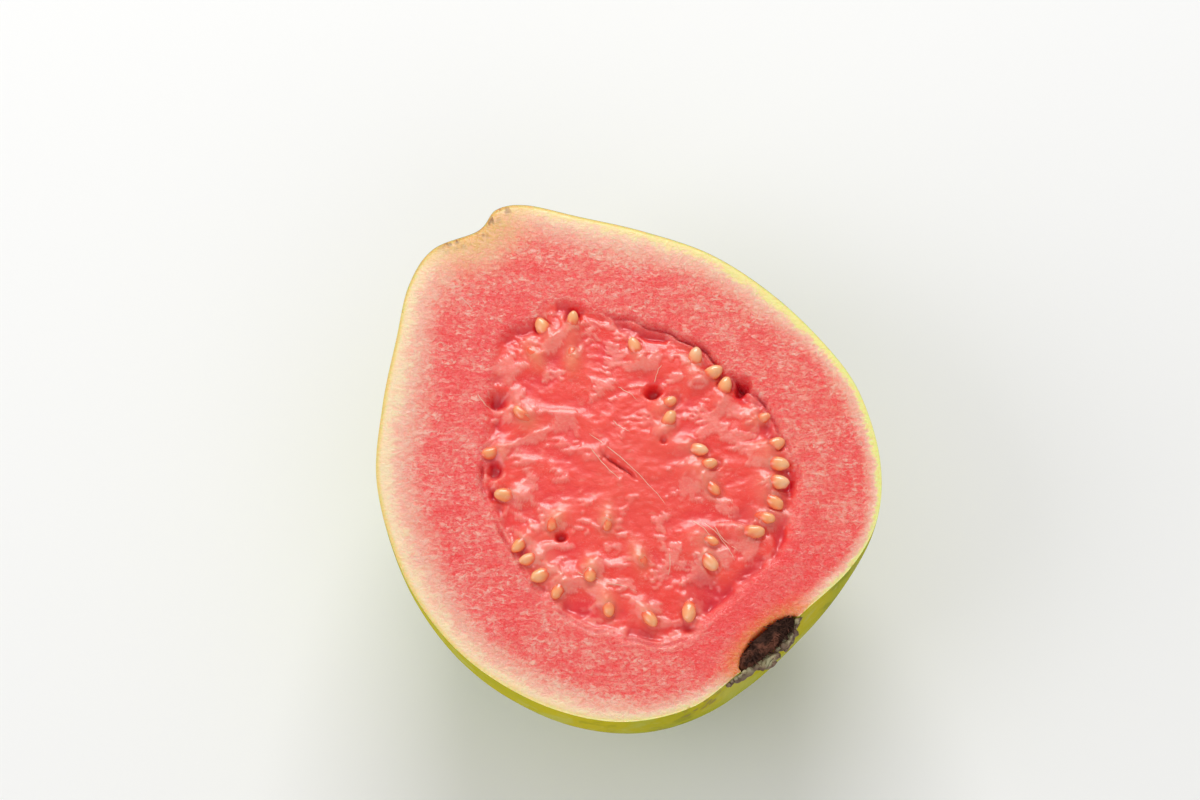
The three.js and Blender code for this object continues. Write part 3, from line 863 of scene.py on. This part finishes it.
def flesh_material(grain, mottle):
    """Cut flesh: granular and salmon red, cream under the skin, and wet red pulp in the middle."""
    material, tree, shader = new_material("Cut flesh")
    mask = {name: attribute(tree, name) for name in MASKS}
    fine = place_group(tree, grain, Size=0.00056, Stretch=1.45)
    coarse = place_group(tree, grain, Size=0.0015, Stretch=1.8)
    drift = place_group(tree, grain, Size=0.0036, Stretch=2.6)["Clump"]
    slow = place_group(tree, mottle, Size=0.011, Contrast=1.0)[0]
    patches = place_group(tree, mottle, Size=0.0040, Contrast=1.0)[0]

    flesh = firm_flesh(tree, mask, fine, coarse, drift, slow, patches)
    flesh = pale_rind(tree, flesh, mask, fine, patches)
    ochre = times(tree, mask["tint"], ranged(tree, fine["Clump"], 0.0, 0.8, 0.55, 1.0))
    north = ranged(tree, coordinate(tree, "Y"), -0.02, 0.02)
    layers = (
        (mask["pulp"], wet_pulp(tree, mask, fine, coarse, slow, patches)),
        (times(tree, mask["pale"], 0.4), PALE_PULP),
        # Painted shade in the seam, pits, seed niches, slit and hollows
        (mask["deep"], rgba(settings()[2].crevice)),
        (ochre, mixed(tree, north, CALYX_FRINGE, STALK_OCHRE)),
        (times(tree, mask["scar"], 0.8), SCAR_BROWN),
    )
    dry = ranged(tree, fine["Height"], 0.2, 0.8, 0.26, 0.45)
    smooth = ranged(tree, fine["Height"], 0.2, 0.8, 0.28, 0.44)
    gloss = {0: mask["pulp"], 2: dry, 3: smooth}
    roughness = put(tree, "ShaderNodeMix", gloss, data_type="FLOAT").outputs[0]
    relief = plus(tree, times(tree, fine["Height"], 0.5), times(tree, fine["Clump"], 0.9))
    relief = times(tree, relief, ranged(tree, mask["pulp"], 0.0, 1.0, 1.0, 0.16))
    relief = times(tree, relief, ranged(tree, mask["band"], 0.2, 1.6, 0.45, 1.0))
    finish = {
        "Subsurface Weight": 0.75,
        "Subsurface Radius": (1.0, 0.22, 0.14),
        "Subsurface Scale": 0.0022,
        "Coat Weight": ranged(tree, mask["pulp"], 0.0, 1.0, 0.14, 0.38),
        "Coat Roughness": 0.07,
    }
    finish_surface(tree, shader, layered(tree, flesh, layers), roughness, relief, (0.00024, 0.55), finish)
    return material


def skin_material(grain, mottle):
    """Waxy skin: apple green turning yellow, with pale bloom, pores and a few brown scars."""
    colours = settings()[2]
    material, tree, shader = new_material("Guava skin")
    slow = place_group(tree, mottle, Size=0.022, Contrast=1.2)[0]
    patches = place_group(tree, mottle, Size=0.0065, Contrast=1.1)[0]
    blemish = place_group(tree, mottle, Size=0.010, Contrast=1.3)[0]
    pores = place_group(tree, grain, Size=0.0016, Stretch=1.0)
    near_rim = ranged(tree, coordinate(tree, "Z"), 0.012, 0.036)
    yellow = plus(tree, times(tree, near_rim, 0.55), times(tree, slow, 0.55), clamp=True)
    dots = times(tree, pores["Speck"], 0.45)
    stalk = vectors(tree, "DISTANCE", {0: object_place(tree), 1: (*STALK_END, 0.034)})[1]
    scar = plus(tree, stalk, times(tree, patches, 0.003))
    scuff = times(tree, ranged(tree, blemish, 0.72, 0.95), ranged(tree, pores["Height"], 0.30, 0.62))
    layers = (
        (ranged(tree, patches, 0.55, 0.95, 0.0, 0.35), SKIN_BLOOM),
        (ranged(tree, patches, 0.05, 0.35, 0.35, 0.0), SKIN_BLOTCH),
        (dots, SKIN_PORE),
        (ranged(tree, scar, 0.0035, 0.0075, 0.8, 0.0), STALK_SCAR),
        (times(tree, scuff, 0.55), SKIN_SCUFF),
    )
    colour = mixed(tree, yellow, rgba(colours.skin_green), rgba(colours.skin_yellow))
    roughness = ranged(tree, patches, 0.2, 0.9, 0.40, 0.56)
    relief = minus(tree, times(tree, patches, 1.6), times(tree, dots, 0.8))
    finish = {"Specular IOR Level": 0.0, "Coat Weight": 0.12, "Coat Roughness": 0.22}
    finish_surface(tree, shader, layered(tree, colour, layers), roughness, relief, (0.00025, 0.45), finish)
    return material


def seed_material(mottle):
    """Seeds in a wet sheath: cream on top by a painted highlight, orange where they sink into the pulp."""
    material, tree, shader = new_material("Guava seed")
    spots = place_group(tree, mottle, Size=0.0009, Contrast=1.0)[0]
    level = plus(tree, attribute(tree, "above"), times(tree, minus(tree, spots, 0.5), 0.25))
    # Painted highlight: the higher a point stands above the pulp, the creamier; some seeds are paler at
    # random, most on top
    layers = (
        (ranged(tree, level, 0.60, 1.15, 0.0, 0.75), SEED_LIT_TOP),
        (times(tree, times(tree, attribute(tree, "paler"), level), 0.35), SEED_PALE),
    )
    colour = mixed(tree, ranged(tree, level, 0.0, 0.65), SEED_ROOT, rgba(settings()[2].seed))
    roughness = ranged(tree, spots, 0.2, 0.9, 0.16, 0.28)
    finish = {
        "Subsurface Weight": 0.08,
        "Subsurface Radius": (1.0, 0.40, 0.16),
        "Subsurface Scale": 0.0005,
        "Coat Weight": 0.5,
        "Coat Roughness": 0.10,
    }
    finish_surface(tree, shader, layered(tree, colour, layers), roughness, spots, (0.00008, 0.4), finish)
    return material


def calyx_material(grain, mottle):
    """Dried flower: dark brown fibres with paler tips."""
    material, tree, shader = new_material("Dried calyx")
    fibres = place_group(tree, grain, Size=0.0005, Stretch=4.0)
    patches = place_group(tree, mottle, Size=0.0028, Contrast=1.3)[0]
    colour = mixed(tree, ranged(tree, patches, 0.30, 0.70), rgba(settings()[2].calyx), CALYX_RUSSET)
    colour = mixed(tree, times(tree, fibres["Speck"], 0.6), colour, CALYX_TIP)
    roughness = ranged(tree, fibres["Height"], 0.3, 0.9, 0.75, 0.98)
    finish = {"Specular IOR Level": 0.2}
    finish_surface(tree, shader, colour, roughness, fibres["Height"], (0.0004, 0.9), finish)
    return material


def sepal_material(mottle):
    """Sepals: grey-green and tan at the root, brown and dry along their edges."""
    material, tree, shader = new_material("Sepal")
    patches = place_group(tree, mottle, Size=0.0022, Contrast=1.2)[0]
    dried = ranged(tree, plus(tree, attribute(tree, "edge"), times(tree, patches, 0.3)), 0.55, 1.1)
    colour = mixed(tree, dried, mixed(tree, patches, SEPAL_GREY, SEPAL_TAN), SEPAL_EDGE)
    roughness = ranged(tree, patches, 0.2, 0.8, 0.45, 0.75)
    finish_surface(tree, shader, colour, roughness, patches, (0.0003, 0.6))
    return material


def fibre_material():
    """Fine pale fibres pulled out of the pulp by the knife."""
    material, tree, shader = new_material("Pulp fibre")
    cloud = clouds(tree, object_place(tree), 600.0)["Fac"]
    colour = mixed(tree, cloud, FIBRE_PINK, FIBRE_CREAM)
    roughness = ranged(tree, cloud, 0.3, 0.7, 0.2, 0.4)
    finish_surface(tree, shader, colour, roughness, cloud, (0.00003, 0.3), {"Coat Weight": 0.3})
    return material


def studio_material(name, colour):
    """A plain matte surface with the faintest unevenness."""
    material, tree, shader = new_material(name)
    cloud = clouds(tree, object_place(tree), 3.0)["Fac"]
    near = tuple(0.985 * part for part in colour)
    shade = mixed(tree, cloud, rgba(near), rgba(colour))
    roughness = ranged(tree, cloud, 0, 1, 0.7, 0.8)
    finish_surface(tree, shader, shade, roughness, cloud, (0.0001, 0.1), {"Specular IOR Level": 0.2})
    return material


def guava_material(name):
    """A material of this fruit by name, made on first use with the node groups that it shares."""
    found = bpy.data.materials.get(name)
    if found:
        return found
    grain = bpy.data.node_groups.get("Dragged grain") or grain_group()
    mottle = bpy.data.node_groups.get("Mottle") or mottle_group()
    makers = {
        "Cut flesh": lambda: flesh_material(grain, mottle),
        "Guava skin": lambda: skin_material(grain, mottle),
        "Guava seed": lambda: seed_material(mottle),
        "Dried calyx": lambda: calyx_material(grain, mottle),
        "Sepal": lambda: sepal_material(mottle),
        "Pulp fibre": fibre_material,
    }
    return makers[name]()


def close_surface(doubles_within=None):
    """Merges the active piece's doubled points if asked, recalculates its normals and shades it smooth."""
    bpy.ops.object.mode_set(mode="EDIT")
    bpy.ops.mesh.select_all(action="SELECT")
    if doubles_within:
        bpy.ops.mesh.remove_doubles(threshold=doubles_within)
        bpy.ops.mesh.dissolve_degenerate(threshold=doubles_within / 2)
    bpy.ops.mesh.normals_make_consistent(inside=False)
    bpy.ops.object.mode_set(mode="OBJECT")
    bpy.ops.object.shade_smooth()


def merge_pieces(context, parts, name, material):
    """Joins like parts into the first of them, names it and gives it one material and smooth shading."""
    bpy.ops.object.select_all(action="DESELECT")
    for part in parts:
        part.select_set(True)
    context.view_layer.objects.active = parts[0]
    bpy.ops.object.join()
    parts[0].name = parts[0].data.name = name
    parts[0].data.materials.append(guava_material(material))
    bpy.ops.object.shade_smooth()


def calyx_point(turn, radius, out):
    """A place at a turn about the calyx axis, a distance from it, and a way out along it."""
    end, outward, sideways = calyx_frame()
    drop = (0, 0, CALYX_SQUAT * radius * math.sin(turn))
    return end + sideways * radius * math.cos(turn) + drop + outward * out


def thread(name, path, thick, thin):
    """A fine tapering tube along a path: a grid rolled up and closed."""
    path = np.array(path)
    tube = add_grid(name, 4 * (len(path) - 1), 6)
    u, v = read_points(tube.data)[:, :2].T
    t = (u + 1) / 2
    spot = t * (len(path) - 1)
    spine = np.column_stack([np.interp(spot, np.arange(len(path)), part) for part in path.T])
    ahead = path[-1] - path[0]
    ahead = ahead / np.linalg.norm(ahead)
    side = np.cross(ahead, (0.13, 0.21, 1.0))
    side = side / np.linalg.norm(side)
    over = np.cross(side, ahead)
    radius = (thick + (thin - thick) * t) * np.sqrt(np.clip(1 - (2 * t - 1) ** 8, 0.01, 1))
    turn = math.pi * v
    points = spine + (radius * np.cos(turn))[:, None] * side + (radius * np.sin(turn))[:, None] * over
    move_points(tube.data, points)
    return tube


def calyx_plug(context):
    """The dried plug: a blunt ball, rough and broken on top, pressed into the hollow at the fruit's end."""
    bpy.ops.object.select_all(action="DESELECT")
    bpy.ops.mesh.primitive_uv_sphere_add(segments=96, ring_count=64, radius=1)
    plug = context.object
    plug.name = plug.data.name = "calyx_plug"
    ball = read_points(plug.data)
    blunt = np.sign(ball) * np.abs(ball) ** 0.72
    across = blunt[:, 0] * PLUG_RADIUS
    out = blunt[:, 1] * 0.5 * (PLUG_DEPTH + 0.0002) - 0.5 * (PLUG_DEPTH - 0.0002)
    up = np.where(blunt[:, 2] > 0, 0.12, 1.0) * blunt[:, 2] * PLUG_RADIUS - 0.0011
    rough = lumps(across, out, 0.0009, 0.0019, 3.3) + 0.7 * lumps(across, out, 0.00035, 0.0009, 5.5)
    broken = 0.8 * lumps(across, out, 0.0022, 0.0022, 8.2)
    top = smooth_step(-0.1, 0.3, blunt[:, 2])
    up = up + 0.00050 * (rough + broken) * top
    out = out + 0.00045 * lumps(across, up, 0.0009, 0.0009, 1.9) * (1 - top)
    out = out - 0.0024 * smooth_step(0.55 * CALYX_SQUAT, 1.15 * CALYX_SQUAT, -blunt[:, 2])
    end, outward, sideways = calyx_frame()
    points = end + across[:, None] * sideways + out[:, None] * outward
    points[:, 2] += up
    move_points(plug.data, points)
    plug.data.materials.append(guava_material("Dried calyx"))
    close_surface()
    return plug


def sepal(number, turn, root, tip, rise):
    """One dried sepal: a curling plate from its root to its tip, thickened."""
    leaf = add_grid(f"sepal_{number}", 26, 18)
    u, v = read_points(leaf.data)[:, :2].T
    t = (u + 1) / 2
    ragged = 1 + 0.18 * lumps(t, v, 0.22, 0.5, number + 0.4)
    half_width = 0.0025 * (1 - 0.92 * t**2.4) * ragged
    radius = root + (tip - root) * t
    bend = 0.0006 * lumps(t, v, 0.5, 0.8, number + 7.3) + 0.0003 * lumps(t, v, 0.16, 0.35, number + 3.9)
    out = rise * np.sin(math.pi * t / 2) - radius**2 / 0.080 + 0.0003 + bend + 0.0005 * v**2
    angle = math.radians(turn)
    end, outward, sideways = calyx_frame()
    upward = np.array((0, 0, 1))
    ray = sideways * math.cos(angle) + upward * CALYX_SQUAT * math.sin(angle)
    cross = upward * CALYX_SQUAT * math.cos(angle) - sideways * math.sin(angle)
    points = end + radius[:, None] * ray + (half_width * v)[:, None] * cross + out[:, None] * outward
    covered = 0.0009 * smooth_step(PLUG_RADIUS + 0.0002, PLUG_RADIUS - 0.0004, radius)
    top = settings()[0].face_height - 0.0001 - 0.00015 * (1 + np.sin(40 * t)) - covered
    points[:, 2] = np.minimum(points[:, 2], top - 0.0002 * (1 - v))
    move_points(leaf.data, points)
    store(leaf.data, "edge", np.maximum(np.abs(v), t**1.5))
    bpy.ops.object.modifier_add(type="SOLIDIFY")
    leaf.modifiers["Solidify"].thickness = 0.00045
    leaf.modifiers["Solidify"].offset = 0
    bpy.ops.object.modifier_apply(modifier="Solidify")
    return leaf


def standing_hair(number):
    """A dried thread that stands out of the plug near its edge."""
    turn = math.pi * (1.02 + 0.96 * draw(number + 2000))
    start = PLUG_RADIUS * (0.30 + 0.58 * draw(number + 2100))
    tip = start + 0.0012 * (draw(number + 2200) - 0.35)
    rise = 0.0003 + 0.0009 * draw(number + 2300)
    bend = 0.12 * (draw(number + 2400) - 0.5)
    points = ((start, -0.0012), ((start + tip) / 2 + 0.0003, 0.4 * rise), (tip, rise))
    path = [calyx_point(turn + bend * k, *point) for k, point in enumerate(points)]
    return thread(f"hair_{number}", path, 0.00011, 0.00005)


def lying_hair(number):
    """A dried thread that lies on the plug."""
    side = PLUG_RADIUS * (1.8 * draw(number + 3000) - 0.9)
    reach = math.sqrt(max(0.02, 1 - (side / PLUG_RADIUS) ** 2))
    out = -PLUG_DEPTH * (0.5 + 0.46 * reach * sway(number + 3100))
    turn = math.radians(70 * sway(number + 3200))
    half = 0.0005 + 0.0008 * draw(number + 3300)
    level = settings()[0].face_height - 0.00042 + 0.00022 * draw(number + 3400)
    path = []
    for k in (-1, 0, 1):
        across = side + k * half * math.cos(turn)
        place = calyx_point(0, across, out + k * half * math.sin(turn) + 0.0002 * (1 - k * k))
        path.append((place[0], place[1], level - 0.00012 * k * k))
    return thread(f"fuzz_{number}", path, 0.00009, 0.00004)


def pulp_fibre(number, first, last, stray, seeds):
    """A fibre that lies on the pulp and strays a little from its straight way."""
    along = np.array(last) - first
    aside = np.array((-along[1], along[0])) / np.hypot(*along)
    path = []
    for t in np.linspace(0, 1, FIBRE_POINTS):
        flat = np.array(first) + along * t + aside * stray * math.sin(math.pi * t)
        flat = flat + aside * 0.00018 * noise.noise((5.0 * t, number, 0))
        path.append((*flat, face_height(flat, seeds) + 0.00005))
    return thread(f"fibre_{number}", path, 0.00007, 0.00004)


def hand_over(piece, slot, *nodes):
    """Binds a finished piece to the fruit's one body and hides the imported nodes that it stands for; the slot
    is not used.
    """
    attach(piece, "root")
    if nodes:
        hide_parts(*nodes)


class GUAVA_OT_fruit_body(Operator):
    """Model the fruit body: cut face with its pulp, and the skin under it, as one closed surface"""

    bl_idname = "guava.fruit_body"
    bl_label = "Fruit Body"

    def execute(self, context):
        shape = settings()[0]
        seeds = list_seeds()
        face = add_grid("guava_fruit", shape.face_cells, shape.face_cells)
        shape_cut_face(face, seeds)
        skin = add_grid("guava_skin", 2 * shape.face_cells, shape.skin_steps)
        shape_skin(skin)
        for surface in (face, skin):
            surface.data.materials.append(guava_material("Cut flesh"))
            surface.data.materials.append(guava_material("Guava skin"))
        skin.data.polygons.foreach_set("material_index", [1] * len(skin.data.polygons))
        face.select_set(True)
        skin.select_set(True)
        context.view_layer.objects.active = face
        bpy.ops.object.join()
        close_surface(doubles_within=0.000002)
        hand_over(face, "flesh", "guava_half")
        return {"FINISHED"}


class GUAVA_OT_seeds(Operator):
    """Model the seeds, each in its niche in the pulp"""

    bl_idname = "guava.seeds"
    bl_label = "Seeds"

    def execute(self, context):
        sizes = settings()[1]
        seeds = list_seeds()
        bpy.ops.object.select_all(action="DESELECT")
        bpy.ops.mesh.primitive_uv_sphere_add(segments=20, ring_count=12, radius=1)
        pattern = context.object
        pattern.rotation_euler = (0, math.pi / 2, 0)
        bpy.ops.object.transform_apply(rotation=True)
        egg = read_points(pattern.data)
        egg[:, 1:] *= (1 - 0.22 * np.clip(egg[:, 0], 0, 1) ** 2 - 0.05 * egg[:, 0])[:, None]
        egg *= (sizes.length, sizes.width, sizes.height)
        move_points(pattern.data, egg)
        inner = np.clip(egg[:, 0] / sizes.length, 0, 1)
        copies = []
        for number, seed in enumerate(seeds):
            copy = pattern.copy()
            copy.data = pattern.data.copy()
            context.collection.objects.link(copy)
            base = face_height(seed["place"], seeds)
            lift = sizes.height * (-0.42 - 0.65 * seed["cover"])
            turn = Matrix.Rotation(seed["turn"], 4, "Z") @ Matrix.Rotation(seed["tilt"], 4, "Y")
            place = Matrix.Translation((*seed["place"], base + lift))
            copy.data.transform(place @ turn @ Matrix.Scale(seed["size"], 4))
            dented = read_points(copy.data)
            bumps = lumps(dented[:, 0] + dented[:, 2], dented[:, 1], 0.0009, 0.0009, number)
            dented += (dented - dented.mean(0)) * (0.07 * bumps)[:, None]
            move_points(copy.data, dented)
            surface = face_heights(dented[:, 0], dented[:, 1], seeds)
            # Height above the pulp: the seed material lays its painted highlight on top by it, and its redder
            # sunken part
            store(copy.data, "above", (dented[:, 2] - surface) / sizes.height - 0.5 * inner)
            store(copy.data, "paler", np.full(len(dented), draw(number + 40)))
            copies.append(copy)
        bpy.data.objects.remove(pattern)
        merge_pieces(context, copies, "guava_seeds", "Guava seed")
        hand_over(copies[0], "seed")
        return {"FINISHED"}


class GUAVA_OT_calyx(Operator):
    """Model the dried calyx: a rough plug in the fruit's end, the sepals round it and its dry threads"""

    bl_idname = "guava.calyx"
    bl_label = "Calyx"

    def execute(self, context):
        hand_over(calyx_plug(context), "calyx", "calyx")
        sepals = [sepal(number, *row) for number, row in enumerate(SEPALS)]
        merge_pieces(context, sepals, "calyx_sepals", "Sepal")
        hand_over(sepals[0], "calyx")
        hairs = [standing_hair(number) for number in range(HAIRS)]
        hairs += [lying_hair(number) for number in range(FUZZ)]
        merge_pieces(context, hairs, "calyx_stamens", "Dried calyx")
        hand_over(hairs[0], "calyx")
        return {"FINISHED"}


class GUAVA_OT_fibres(Operator):
    """Model the fine pale fibres that the knife pulled out of the pulp"""

    bl_idname = "guava.fibres"
    bl_label = "Fibres"

    def execute(self, context):
        seeds = list_seeds()
        fibres = [pulp_fibre(number, *row, seeds) for number, row in enumerate(FIBRES)]
        merge_pieces(context, fibres, "pulp_fibres", "Pulp fibre")
        hand_over(fibres[0], "flesh")
        return {"FINISHED"}


class GUAVA_OT_stage(Operator):
    """Set up the plain pale floor, soft studio lights and the camera"""

    bl_idname = "guava.stage"
    bl_label = "Stage"

    def execute(self, context):
        bpy.ops.object.select_all(action="DESELECT")
        bpy.ops.mesh.primitive_plane_add(size=6, location=(0, 0, 0))
        floor = context.object
        floor.name = "floor"
        floor.data.materials.append(studio_material("Studio floor", FLOOR_COLOUR))
        world = bpy.data.worlds.new("Studio air")
        world.use_nodes = True
        air = {"Color": (1.0, 1.0, 1.0, 1.0), "Strength": AIR_BRIGHTNESS}
        fill(world.node_tree, world.node_tree.nodes["Background"], air)
        context.scene.world = world
        for row in SOFTBOXES:
            soft_box(*row)
        set_camera()
        context.scene.view_settings.view_transform = "Standard"
        return {"FINISHED"}


def soft_box(name, place, size, power):
    """A rectangular light that faces the fruit."""
    bpy.ops.object.light_add(type="AREA", location=place)
    light = bpy.context.object
    light.name = name
    light.data.shape = "RECTANGLE"
    light.data.size, light.data.size_y = size
    light.data.energy = power
    light.rotation_euler = (Vector((0, 0, 0.02)) - Vector(place)).to_track_quat("-Z", "Y").to_euler()


def set_camera():
    """A long lens that looks down on the cut face from the calyx side, the stalk end at the upper left."""
    azimuth, rise = CAMERA_AZIMUTH, CAMERA_ELEVATION
    level = math.cos(rise)
    view = Vector((math.sin(azimuth) * level, -math.cos(azimuth) * level, math.sin(rise)))
    right = Vector((math.cos(azimuth), math.sin(azimuth), 0))
    up = view.cross(right)
    aim = Vector(CAMERA_AIM) + right * CAMERA_SLIDE[0] + up * CAMERA_SLIDE[1]
    bpy.ops.object.camera_add(location=aim + view * CAMERA_DISTANCE)
    camera = bpy.context.object
    camera.rotation_euler = (-view).to_track_quat("-Z", "Y").to_euler()
    camera.data.lens = CAMERA_LENS
    camera.data.sensor_width = CAMERA_SENSOR
    bpy.context.scene.camera = camera


class GUAVA_PT_panel(Panel):
    """Sizes, colours and building steps of the guava half."""

    bl_label = "Guava Half"
    bl_idname = "GUAVA_PT_panel"
    bl_space_type = "VIEW_3D"
    bl_region_type = "UI"
    bl_category = "Guava"

    def draw(self, context):
        for group in (context.scene.guava_shape, context.scene.guava_seeds, context.scene.guava_colours):
            box = self.layout.box()
            for name in group.bl_rna.properties.keys():
                if name not in {"rna_type", "name"}:
                    box.prop(group, name)
        for operator in STEPS:
            self.layout.operator(operator.bl_idname)


STEPS = (GUAVA_OT_fruit_body, GUAVA_OT_seeds, GUAVA_OT_fibres, GUAVA_OT_calyx, GUAVA_OT_stage)
CLASSES = (GuavaShape, GuavaSeeds, GuavaColours, *STEPS, GUAVA_PT_panel)


def register():
    for each in CLASSES:
        bpy.utils.register_class(each)
    bpy.types.Scene.guava_shape = PointerProperty(type=GuavaShape)
    bpy.types.Scene.guava_seeds = PointerProperty(type=GuavaSeeds)
    bpy.types.Scene.guava_colours = PointerProperty(type=GuavaColours)


def unregister():
    del bpy.types.Scene.guava_colours
    del bpy.types.Scene.guava_seeds
    del bpy.types.Scene.guava_shape
    for each in reversed(CLASSES):
        bpy.utils.unregister_class(each)


def main():
    register()
    bpy.ops.guava.fruit_body()
    bpy.ops.guava.seeds()
    bpy.ops.guava.fibres()
    bpy.ops.guava.calyx()
    bpy.ops.guava.stage()


if __name__ == "__main__":
    main()
